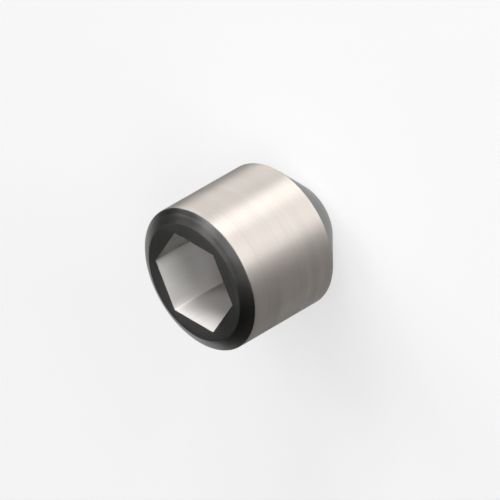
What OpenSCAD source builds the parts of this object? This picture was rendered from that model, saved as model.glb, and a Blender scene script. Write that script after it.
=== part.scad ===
// Cup point set screw: a headless screw that is driven by a hexagon socket
// and grips a shaft with the sharp ring of its cup point.
// It is turned from one bar and is one piece. Sizes are in millimetres.
// It stands on its cup point, with its axis along +Z and the socket on top.
// The body is a plain cylinder at the major diameter of its thread.

/* [Screw] */
// Major diameter of the thread
thread_d = 10; // [9:0.1:14]
// Overall length, from the cup ring to the socket face
screw_length = 10; // [9:0.1:40]

/* [Socket end] */
// Width of the chamfer round the socket face, measured along the radius
face_chamfer_w = 0.9; // [0.5:0.1:1.2]
// Angle of that chamfer, measured from the flat face
face_chamfer_angle = 30; // [20:1:45]

/* [Hexagon socket] */
// Size of the hexagon across its flats
socket_af = 6; // [4:0.1:6.4]
// Depth of the straight hexagon walls
socket_depth = 5; // [3:0.1:5.5]
// Full angle of the drilled cone below the hexagon
socket_tip_angle = 118; // [90:1:150]

/* [Cup point] */
// Diameter of the cup's outer edge
point_d = 5.1; // [4.4:0.1:6]
// Angle of the point's cone, measured from the flat end
point_angle = 45; // [30:1:50]
// Width of the flat ring round the cup
cup_land = 0.2; // [0.1:0.05:0.4]
// Full angle of the hollow cone in the cup
cup_angle = 118; // [100:1:130]

/* [Hidden] */

// Facets of the turned surfaces in the preview
turned_facets = 180;

hexagon_sides = 6;

// The hexagon is cut this far past the socket face, so that no skin is left.
cut_past = 1;

// Each cone's height follows from its two radii and its angle.
thread_r = thread_d / 2;
face_r = thread_r - face_chamfer_w;
face_chamfer_h = face_chamfer_w * tan(face_chamfer_angle);
point_r = point_d / 2;
point_h = (thread_r - point_r) * tan(point_angle);
cup_r = point_r - cup_land;
cup_depth = cup_r / tan(cup_angle / 2);

// The pilot hole under the hexagon just touches its flats.
pilot_r = socket_af / 2;
pilot_tip_h = pilot_r / tan(socket_tip_angle / 2);
socket_floor_z = screw_length - socket_depth;

// Corner radius of a hexagon of this size across its flats
function hexagon_r(across_flats) = across_flats / 2 / cos(180 / hexagon_sides);

// Half of the section of the turned bar, from the middle of the cup round
// the outside to the middle of the socket face.
function bar_section() = [
    [0, cup_depth],
    [cup_r, 0],
    [point_r, 0],
    [thread_r, point_h],
    [thread_r, screw_length - face_chamfer_h],
    [face_r, screw_length],
    [0, screw_length]
];

// The bar as turned: cup, ring, cone of the point, body, chamfer and face.
module turned_bar() {
    rotate_extrude($fn = turned_facets)
        polygon(bar_section());
}

// The straight walls for the key. Two corners lie on the X axis.
module key_hexagon() {
    translate([0, 0, socket_floor_z])
        cylinder(
            r = hexagon_r(socket_af),
            h = socket_depth + cut_past,
            $fn = hexagon_sides
        );
}

// The conical end of the pilot hole, below the floor of the hexagon.
module pilot_tip() {
    translate([0, 0, socket_floor_z - pilot_tip_h])
        rotate_extrude($fn = turned_facets)
            polygon([
                [0, 0],
                [pilot_r, pilot_tip_h],
                [0, pilot_tip_h]
            ]);
}

module set_screw() {
    color("silver")
        difference() {
            turned_bar();
            key_hexagon();
            pilot_tip();
        }
}

set_screw();
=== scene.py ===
"""A cup point set screw in plain steel, standing on its cup point."""
import math

import bmesh
import bpy
from mathutils import Matrix, Vector


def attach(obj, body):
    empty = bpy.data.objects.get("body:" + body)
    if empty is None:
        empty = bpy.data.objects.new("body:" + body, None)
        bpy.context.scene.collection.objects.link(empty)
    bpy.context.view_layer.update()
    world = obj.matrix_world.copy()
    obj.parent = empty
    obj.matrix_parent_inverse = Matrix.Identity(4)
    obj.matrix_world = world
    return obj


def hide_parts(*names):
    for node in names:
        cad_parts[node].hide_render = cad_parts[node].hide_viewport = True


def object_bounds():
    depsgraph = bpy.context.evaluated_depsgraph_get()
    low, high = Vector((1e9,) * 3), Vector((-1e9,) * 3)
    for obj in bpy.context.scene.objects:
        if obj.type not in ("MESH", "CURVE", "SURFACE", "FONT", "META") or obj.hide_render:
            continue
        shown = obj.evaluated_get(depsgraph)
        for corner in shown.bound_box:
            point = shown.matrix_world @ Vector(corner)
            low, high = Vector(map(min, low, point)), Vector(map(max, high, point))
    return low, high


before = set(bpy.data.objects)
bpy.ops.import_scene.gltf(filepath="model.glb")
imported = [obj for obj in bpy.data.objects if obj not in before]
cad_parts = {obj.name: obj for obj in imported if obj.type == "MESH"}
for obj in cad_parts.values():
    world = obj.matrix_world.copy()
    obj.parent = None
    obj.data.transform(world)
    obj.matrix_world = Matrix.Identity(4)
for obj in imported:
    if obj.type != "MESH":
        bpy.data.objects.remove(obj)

cad_low, cad_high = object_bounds()

MM = 0.001

# The turned bar
BODY_R = min(cad_high.x, cad_high.y)
LENGTH = cad_high.z
CHAMFER_W = 0.9 * MM
CHAMFER_ANGLE = math.radians(30)
CHAMFER_H = CHAMFER_W * math.tan(CHAMFER_ANGLE)
FACE_R = BODY_R - CHAMFER_W
POINT_R = 2.55 * MM
POINT_ANGLE = math.radians(45)
POINT_H = (BODY_R - POINT_R) * math.tan(POINT_ANGLE)
TURNED_STEPS = 256

# Its section ends this far inside the socket face, which is filled up to the hexagon
FACE_RING_W = 0.3 * MM

# The cup in the point
CUP_LAND = 0.2 * MM
CUP_ANGLE = math.radians(118)
CUP_R = POINT_R - CUP_LAND
CUP_DEPTH = CUP_R / math.tan(CUP_ANGLE / 2)

# How far the edges are broken, as tumbling leaves them, and in how many steps
BODY_EDGE = 0.05 * MM
FACE_EDGE = 0.04 * MM
RING_EDGE = 0.03 * MM
MOUTH_EDGE = 0.02 * MM
HEXAGON_CORNER = 0.04 * MM
EDGE_STEPS = 4
CORNER_STEPS = 3

# The hexagon socket. The pilot hole at its end stays just clear of the flats.
SOCKET_AF = 6.0 * MM
SOCKET_DEPTH = 5.0 * MM
SOCKET_TIP_ANGLE = math.radians(118)
PILOT_R = 2.96 * MM
MOUTH_AF = SOCKET_AF + 2 * MOUTH_EDGE
HEXAGON_SIDES = 6
FLAT_CUTS = 9

# Vertices nearer than this become one, and edges that turn more than this stay sharp
MERGE = 0.0001 * MM
SHARP_ANGLE = math.radians(25)

# The finishes, in the order of the piece's materials. The chamfer's, face's and point's tints
# hold painted shade, the socket's painted light.
BODY, CHAMFER, FACE, POINT, SOCKET = range(5)

# Faces of the bar whose middle is this near its top lie in the socket face
FACE_BAND = 0.01 * MM

# Scales of the patterns per metre: fine across the tool marks and coarse along them
TURNED_ACROSS, TURNED_ALONG = 9000, 60
PRESSED_ACROSS, PRESSED_ALONG = 5000, 150
PATCHES = 500
NOISE_DETAIL = 3

# Turned marks follow each other by these shares of the radius and the height together
RADIUS_SHARE, HEIGHT_SHARE = 1.3, 0.8

# Nearly all of a noise lies between these values
NOISE_LOW, NOISE_HIGH = 0.3, 0.7

# How far marks and patches change the roughness, and how deep the marks look
MARKS_SWING = 0.05
PATCHES_SWING = 0.03
RELIEF_STRENGTH = 0.35
RELIEF_DEPTH = 0.004 * MM

# Turns a highlight's spread from round the axis to along it
QUARTER_TURN = 0.25

# The paper floor, in metres, and the share of it that is seen as pure white
FLOOR_R = 0.4
FLOOR_SIDES = 128
RIM_W = 0.09
RIM_H = 0.036
RIM_TURN = math.radians(80)
RIM_RINGS = 12
PAPER = (0.84, 0.84, 0.84, 1)
PAPER_ROUGHNESS = 0.9
PAPER_WHITE = 0.6
WHITE = (1, 1, 1, 1)

# Softboxes: name, azimuth and elevation in degrees, width and height in metres, radiance
SOFTBOXES = [
    ("front", 270, 12, 0.56, 0.35, 18),
    ("left", 228, 12, 0.74, 0.35, 12),
    ("right", 320, 12, 0.74, 0.35, 7.9),
    ("high_left", 205, 40, 0.62, 0.33, 4.2),
    ("high_right", 294, 42, 0.48, 0.33, 5.1),
    ("top", 243, 50, 0.48, 0.33, 3.1),
]
LAMP_DISTANCE = 1
WORLD_STRENGTH = 0.02

# The photograph's frame, the middle of the socket face in it, and the lens
PHOTO_PX = 500
PX_PER_MM = 15.708
FACE_CENTRE_PX = Vector((193.86, 282.64))
LENS_MM = 700
SENSOR_MM = 36


def extrude_ring(bm, edges):
    """Extrudes a ring of edges in place. Gives the new ring's vertices and edges."""
    made = bmesh.ops.extrude_edge_only(bm, edges=edges)["geom"]
    verts = [g for g in made if isinstance(g, bmesh.types.BMVert)]
    new_edges = [g for g in made if isinstance(g, bmesh.types.BMEdge)]
    ring = set(verts)
    return verts, [e for e in new_edges if ring.issuperset(e.verts)]


def scaled_ring(bm, edges, scale, z):
    """Extrudes a ring of edges, scales it about the axis and sets its height."""
    verts, edges = extrude_ring(bm, edges)
    for v in verts:
        v.co = (v.co.x * scale, v.co.y * scale, z)
    return edges


def round_ring(bm, edges, radius, z):
    """Extrudes a ring of edges to a circle of this radius and height."""
    verts, edges = extrude_ring(bm, edges)
    for v in verts:
        flat = Vector((v.co.x, v.co.y, 0)).normalized() * radius
        v.co = (flat.x, flat.y, z)
    return edges


def close_at_tip(bm, edges, z):
    """Carries a ring of edges to a point on the axis."""
    verts, edges = extrude_ring(bm, edges)
    bmesh.ops.pointmerge(bm, verts=verts, merge_co=(0, 0, z))


def break_corner(bm, vert, size, steps):
    """Rounds a corner of a section or of an outline."""
    bmesh.ops.bevel(
        bm, geom=[vert], offset=size, segments=steps, profile=0.5,
        affect="VERTICES", material=-1,
    )


def turned_bar():
    """The bar from the bottom of its cup to the rim of its socket face."""
    bm = bmesh.new()
    section = [
        (0, CUP_DEPTH, 0),
        (CUP_R, 0, RING_EDGE),
        (POINT_R, 0, RING_EDGE),
        (BODY_R, POINT_H, BODY_EDGE),
        (BODY_R, LENGTH - CHAMFER_H, BODY_EDGE),
        (FACE_R, LENGTH, FACE_EDGE),
        (FACE_R - FACE_RING_W, LENGTH, 0),
    ]
    chain = [bm.verts.new((r, 0, z)) for r, z, size in section]
    for pair in zip(chain, chain[1:]):
        bm.edges.new(pair)
    for vert, (r, z, size) in zip(chain, section):
        if size:
            break_corner(bm, vert, size, EDGE_STEPS)
    bmesh.ops.spin(
        bm, geom=bm.verts[:] + bm.edges[:], cent=(0, 0, 0), axis=(0, 0, 1),
        dvec=(0, 0, 0), angle=math.tau, steps=TURNED_STEPS, use_merge=True,
    )
    bmesh.ops.remove_doubles(bm, verts=bm.verts, dist=MERGE)
    return bm


def hexagon(bm, across_flats, z):
    """A ring of edges in the shape of the key's hexagon, with two corners on X."""
    corners = bmesh.ops.create_circle(
        bm, segments=HEXAGON_SIDES, radius=across_flats / 2 / math.cos(math.pi / HEXAGON_SIDES),
        matrix=Matrix.Translation((0, 0, z)) @ Matrix.Rotation(math.pi / 2, 4, "Z"),
    )["verts"]
    for vert in corners:
        break_corner(bm, vert, HEXAGON_CORNER, CORNER_STEPS)
    # The edges of the rounded corners are far shorter than the flats
    flats = [e for e in bm.edges if e.is_wire and e.calc_length() > across_flats / 4]
    bmesh.ops.subdivide_edges(bm, edges=flats, cuts=FLAT_CUTS)
    return [e for e in bm.edges if e.is_wire]


def press_socket(bm, mouth):
    """Carries the mouth's ring down the hexagon's walls, over its floor and to the tip."""
    walls = scaled_ring(bm, mouth, SOCKET_AF / MOUTH_AF, LENGTH - MOUTH_EDGE)
    floor_z = LENGTH - SOCKET_DEPTH
    floor = scaled_ring(bm, walls, 1, floor_z)
    pilot = round_ring(bm, floor, PILOT_R, floor_z)
    close_at_tip(bm, pilot, floor_z - PILOT_R / math.tan(SOCKET_TIP_ANGLE / 2))


def outside_finish(face):
    """The finish of a face outside the socket, from the height of its middle."""
    z = face.calc_center_median().z
    if z < POINT_H:
        return POINT
    if z < LENGTH - CHAMFER_H:
        return BODY
    if z < LENGTH - FACE_BAND:
        return CHAMFER
    return FACE


def smooth_piece(bm, name):
    """Makes a bmesh a smooth piece of the scene."""
    mesh = bpy.data.meshes.new(name)
    bm.to_mesh(mesh)
    bm.free()
    for polygon in mesh.polygons:
        polygon.use_smooth = True
    piece = bpy.data.objects.new(name, mesh)
    bpy.context.scene.collection.objects.link(piece)
    return piece


def make_set_screw():
    """The whole screw as one closed surface. Its faces tell its five finishes apart."""
    bm = turned_bar()
    face_rim = [e for e in bm.edges if e.is_boundary]
    mouth = hexagon(bm, MOUTH_AF, LENGTH)
    bmesh.ops.triangle_fill(bm, edges=face_rim + mouth, use_beauty=True)
    outside = set(bm.faces)
    press_socket(bm, mouth)
    for face in bm.faces:
        face.material_index = outside_finish(face) if face in outside else SOCKET
    bmesh.ops.recalc_face_normals(bm, faces=bm.faces)
    piece = smooth_piece(bm, "steel_set_screw")
    piece.data.set_sharp_from_angle(angle=SHARP_ANGLE)
    return piece


class Nodes:
    """Adds nodes to a material in the order in which the surface is described."""

    def __init__(self, name):
        self.material = bpy.data.materials.new(name)
        self.material.use_nodes = True
        self.tree = self.material.node_tree
        self.shader = self.tree.nodes["Principled BSDF"]
        self.surface = self.tree.nodes["Material Output"].inputs["Surface"]

    def link(self, value, socket):
        """Feeds a socket from another one, or sets it to a plain value."""
        if isinstance(value, bpy.types.NodeSocket):
            self.tree.links.new(value, socket)
        else:
            socket.default_value = value

    def add(self, kind, inputs=(), **settings):
        """Adds a node. Inputs are pairs of a socket's name or number and a value."""
        node = self.tree.nodes.new("ShaderNode" + kind)
        for name, value in settings.items():
            setattr(node, name, value)
        for socket, value in inputs:
            self.link(value, node.inputs[socket])
        return node

    def math(self, operation, *values):
        """One sum. Gives its result's socket."""
        return self.add("Math", enumerate(values), operation=operation).outputs[0]

    def noise(self, scale, place):
        """A random pattern from 0 to 1. Gives its socket."""
        inputs = (("Vector", place), ("Scale", scale), ("Detail", NOISE_DETAIL))
        return self.add("TexNoise", inputs).outputs[0]

    def ranged(self, noise, low, high):
        """Spreads a noise over a range of values. Gives the result's socket."""
        inputs = (
            ("Value", noise), ("From Min", NOISE_LOW), ("From Max", NOISE_HIGH),
            ("To Min", low), ("To Max", high),
        )
        return self.add("MapRange", inputs).outputs[0]

    def stretched(self, *parts):
        """A place whose x, y and z are these values, each times its scale."""
        scaled = [self.math("MULTIPLY", value, scale) for value, scale in parts]
        return self.add("CombineXYZ", enumerate(scaled)).outputs[0]

    def blended(self, share, first, second):
        """Blends two colours, which a Mix node takes at inputs 6 and 7."""
        inputs = (("Factor", share), (6, (*first, 1)), (7, (*second, 1)))
        return self.add("Mix", inputs, data_type="RGBA").outputs[2]


def turned_marks(nodes, x, y, z):
    """The place of marks that run round the axis, on sides, cones and faces alike."""
    squares = nodes.math("MULTIPLY_ADD", y, y, nodes.math("MULTIPLY", x, x))
    radius = nodes.math("SQRT", squares)
    height = nodes.math("MULTIPLY", z, HEIGHT_SHARE)
    step = nodes.math("MULTIPLY_ADD", radius, RADIUS_SHARE, height)
    return nodes.stretched((step, TURNED_ACROSS), (x, TURNED_ALONG), (y, TURNED_ALONG))


def pressed_marks(nodes, x, y, z):
    """The place of marks that run along the axis, as a punch leaves them."""
    return nodes.stretched((x, PRESSED_ACROSS), (y, PRESSED_ACROSS), (z, PRESSED_ALONG))


def steel(name, marks_place, dark, bright, roughness, spread):
    """Steel with fine tool marks and faint patches, between a dark and a bright tint.

    The finish spreads a highlight along the axis, by spread from 0 to 1.
    """
    nodes = Nodes(name)
    place = nodes.add("TexCoord").outputs["Object"]
    x, y, z = nodes.add("SeparateXYZ", [(0, place)]).outputs
    marks = nodes.noise(1, marks_place(nodes, x, y, z))
    patches = nodes.noise(PATCHES, place)
    roughness_of_marks = nodes.ranged(marks, roughness - MARKS_SWING, roughness + MARKS_SWING)
    roughness_of_patches = nodes.ranged(patches, -PATCHES_SWING, PATCHES_SWING)
    relief = (("Strength", RELIEF_STRENGTH), ("Distance", RELIEF_DEPTH), ("Height", marks))
    values = {
        "Base Color": nodes.blended(patches, dark, bright),
        "Metallic": 1,
        "Roughness": nodes.math("ADD", roughness_of_marks, roughness_of_patches),
        "Normal": nodes.add("Bump", relief).outputs[0],
        "Anisotropic": spread,
        "Anisotropic Rotation": QUARTER_TURN,
        "Tangent": nodes.add("Tangent", direction_type="RADIAL", axis="Z").outputs[0],
    }
    for socket, value in values.items():
        nodes.link(value, nodes.shader.inputs[socket])
    return nodes.material


def body_steel():
    """The side of the bar, ground bright and slightly warm."""
    return steel(
        "ground_side", turned_marks, dark=(0.405, 0.374, 0.348), bright=(0.47, 0.434, 0.404),
        roughness=0.58, spread=0.9,
    )


def chamfer_steel():
    """The chamfer, turned, its tint darkened as painted shade."""
    return steel(
        "turned_chamfer_painted_shade", turned_marks, dark=(0.225, 0.22, 0.215), bright=(0.258, 0.253, 0.248),
        roughness=0.36, spread=0.6,
    )


def face_steel():
    """The socket face, faced with a coarser tool, its tint darkened as painted shade."""
    return steel(
        "faced_end_painted_shade", turned_marks, dark=(0.18, 0.177, 0.174), bright=(0.21, 0.207, 0.204),
        roughness=0.55, spread=0.2,
    )


def point_steel():
    """The point's cone and its cup, turned last with a sharp tool, their tint darkened as
    painted shade.
    """
    return steel(
        "turned_point_painted_shade", turned_marks, dark=(0.135, 0.133, 0.131), bright=(0.16, 0.158, 0.156),
        roughness=0.36, spread=0.6,
    )


def socket_steel():
    """The hexagon, pressed by its punch, its tint brightened as painted light."""
    return steel(
        "pressed_socket_painted_light", pressed_marks, dark=(0.59, 0.575, 0.56), bright=(0.645, 0.627, 0.612),
        roughness=0.64, spread=0.8,
    )


def paper():
    """Matt paper that is seen partly as pure white and keeps the screw's shadow."""
    nodes = Nodes("paper")
    nodes.link(PAPER, nodes.shader.inputs["Base Color"])
    nodes.link(PAPER_ROUGHNESS, nodes.shader.inputs["Roughness"])
    path = nodes.add("LightPath").outputs
    mirrored = nodes.math("MAXIMUM", path["Is Glossy Ray"], path["Is Transmission Ray"])
    seen = nodes.math("MAXIMUM", path["Is Camera Ray"], mirrored)
    share = nodes.math("MULTIPLY", seen, PAPER_WHITE)
    white = nodes.add("Emission", [("Color", WHITE), ("Strength", 1)]).outputs[0]
    layers = ((0, share), (1, nodes.shader.outputs[0]), (2, white))
    nodes.link(nodes.add("MixShader", layers).outputs[0], nodes.surface)
    return nodes.material


def make_floor():
    """A wide flat floor whose rim curves up a little, as a paper sweep does."""
    bm = bmesh.new()
    bmesh.ops.create_circle(bm, cap_ends=True, radius=FLOOR_R, segments=FLOOR_SIDES)
    edges = bm.edges[:]
    for k in range(1, RIM_RINGS + 1):
        turn = k / RIM_RINGS * RIM_TURN
        radius = FLOOR_R + RIM_W * math.sin(turn)
        edges = round_ring(bm, edges, radius, RIM_H * (1 - math.cos(turn)))
    floor = smooth_piece(bm, "floor")
    floor.data.materials.append(paper())


def direction(azimuth, elevation):
    """Unit vector towards an azimuth from +X to +Y and an elevation, in degrees."""
    a, e = math.radians(azimuth), math.radians(elevation)
    return Vector((math.cos(a) * math.cos(e), math.sin(a) * math.cos(e), math.sin(e)))


def softbox(name, azimuth, elevation, width, height, radiance):
    """An area lamp that faces the middle of the screw."""
    lamp = bpy.data.lights.new(name, "AREA")
    lamp.shape = "RECTANGLE"
    lamp.size, lamp.size_y = width, height
    # A surface of radiance L and area A gives off pi * A * L watts.
    lamp.energy = math.pi * width * height * radiance
    place = bpy.data.objects.new(name, lamp)
    bpy.context.scene.collection.objects.link(place)
    towards = direction(azimuth, elevation)
    place.location = towards * LAMP_DISTANCE + Vector((0, 0, LENGTH / 2))
    place.rotation_euler = towards.to_track_quat("Z", "Y").to_euler()
    place.visible_camera = False


def make_lights():
    """Three low softboxes round the lit side, and three weaker ones higher up."""
    for box in SOFTBOXES:
        softbox(*box)
    world = bpy.data.worlds.new("studio")
    bpy.context.scene.world = world
    world.use_nodes = True
    background = world.node_tree.nodes["Background"].inputs
    background["Color"].default_value = WHITE
    background["Strength"].default_value = WORLD_STRENGTH


def make_camera():
    """A long lens that looks at the screw as the photograph does, rolled onto its side."""
    back = Vector((-1, -1, 1)).normalized()
    right = Vector((-1, 0, -1)).normalized()
    up = back.cross(right)
    depth = PHOTO_PX / PX_PER_MM * MM * LENS_MM / SENSOR_MM
    aside = (PHOTO_PX / 2 - FACE_CENTRE_PX.x) / PX_PER_MM * MM
    above = (FACE_CENTRE_PX.y - PHOTO_PX / 2) / PX_PER_MM * MM
    target = Vector((0, 0, LENGTH)) + right * aside + up * above
    data = bpy.data.cameras.new("camera")
    data.lens, data.sensor_width = LENS_MM, SENSOR_MM
    data.clip_start, data.clip_end = 0.01, 10
    camera = bpy.data.objects.new("camera", data)
    bpy.context.scene.collection.objects.link(camera)
    axes = Matrix((right, up, back)).transposed().to_4x4()
    camera.matrix_world = Matrix.Translation(target + back * depth) @ axes
    bpy.context.scene.camera = camera


screw = make_set_screw()
for finish in (body_steel, chamfer_steel, face_steel, point_steel, socket_steel):
    screw.data.materials.append(finish())
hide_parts("set_screw")
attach(screw, "root")
make_floor()
make_lights()
make_camera()
bpy.context.scene.view_settings.view_transform = "Standard"
